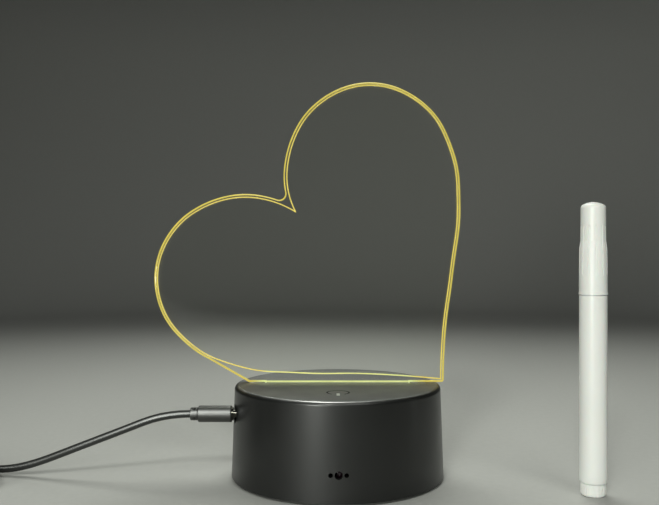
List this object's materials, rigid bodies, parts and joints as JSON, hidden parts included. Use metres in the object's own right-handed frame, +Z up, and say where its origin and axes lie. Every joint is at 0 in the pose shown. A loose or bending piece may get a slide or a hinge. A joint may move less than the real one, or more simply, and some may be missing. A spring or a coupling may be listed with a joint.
{
  "type": "led writing board",
  "caption": "Clear heart-shaped acrylic writing plate standing in a lit slot on a round black lamp base, with its power lead and a capped marker.",
  "frame": {"origin": "on the table, under the middle of the round base", "axes": "+Z up; +X to the right as seen by the writer; the front, with the touch key and the receiver, faces -Y"},
  "size_m": [0.2923, 0.1515, 0.1626],
  "materials": {
    "black_housing": "satin black moulded ABS",
    "clear_acrylic": "clear cast acrylic, laser cut",
    "white_channel": "white moulded ABS that reflects light",
    "foot_rubber": "black rubber",
    "cord_jacket": "black PVC with a slight sheen",
    "plug_moulding": "black glossy PVC moulding",
    "tie_band": "black soft band",
    "nickel": "nickel plated",
    "screw_steel": "zinc plated steel",
    "spring_steel": "nickel plated spring steel",
    "gold_contact": "gold plated",
    "cell_wrap": "printed shrink film, plain",
    "circuit_green": "green solder mask",
    "lamp_white": "white lamp package with yellow phosphor",
    "chip_black": "black moulded package",
    "can_sleeve": "dark sleeve on an aluminium can",
    "receiver_dark": "dark infrared-clear epoxy",
    "wire_red": "thin PVC insulation",
    "pen_white": "off-white satin polypropylene",
    "fibre_white": "polyester fibre",
    "nib_yellow": "felt nib, inked yellow"
  },
  "bodies": {
    "base": {"base_shell": "black_housing", "bottom_cover": "black_housing", "rubber_feet": "foot_rubber", "cover_screws": "screw_steel", "aa_cells": "cell_wrap", "contact_plates": "nickel", "contact_springs": "spring_steel", "slot_guide": "white_channel", "guide_screws": "screw_steel", "led_board": "circuit_green", "led_chips": "lamp_white", "led_leads": "wire_red", "main_board": "circuit_green", "board_screws": "screw_steel", "controller_chip": "chip_black", "chip_resistors": "chip_black", "lead_socket": "white_channel", "capacitor": "can_sleeve", "touch_spring": "spring_steel", "ir_receiver": "receiver_dark", "receiver_legs": "nickel", "battery_leads": "wire_red", "dc_jack": "chip_black", "jack_pin": "nickel"},
    "plate": {"writing_plate": "clear_acrylic"},
    "door": {"battery_door": "black_housing"},
    "lead": {"plug_body": "plug_moulding", "plug_collar": "plug_moulding", "plug_barrel": "nickel", "cord_run": "cord_jacket", "cord_coil": "cord_jacket", "cord_tail": "cord_jacket", "coil_tie": "tie_band", "usb_plug_body": "plug_moulding", "usb_plug_shell": "nickel", "usb_tongue": "white_channel", "usb_contacts": "gold_contact"},
    "pen": {"pen_barrel": "pen_white", "pen_tail_plug": "pen_white", "pen_reservoir": "fibre_white", "pen_nib_holder": "pen_white", "pen_nib": "nib_yellow"},
    "cap": {"pen_cap": "pen_white"}
  },
  "joints": [
    {"name": "plate_lift", "type": "slide", "parent": "base", "child": "plate", "axis": [0, 0, 1], "range_m": [0, 0.03]},
    {"name": "door_swing", "type": "hinge", "parent": "base", "child": "door", "pos_m": [0, 0.0232, 0.0012], "axis": [1, 0, 0], "range_deg": [0, 80]},
    {"name": "plug_pull", "type": "slide", "parent": "base", "child": "lead", "axis": [-1, 0, 0], "range_m": [0, 0.012]},
    {"name": "pen_lift", "type": "slide", "parent": "base", "child": "pen", "axis": [0, 0, 1], "range_m": [0, 0.12]},
    {"name": "cap_pull", "type": "slide", "parent": "pen", "child": "cap", "axis": [0, 0, 1], "range_m": [0, 0.04]}
  ]
}
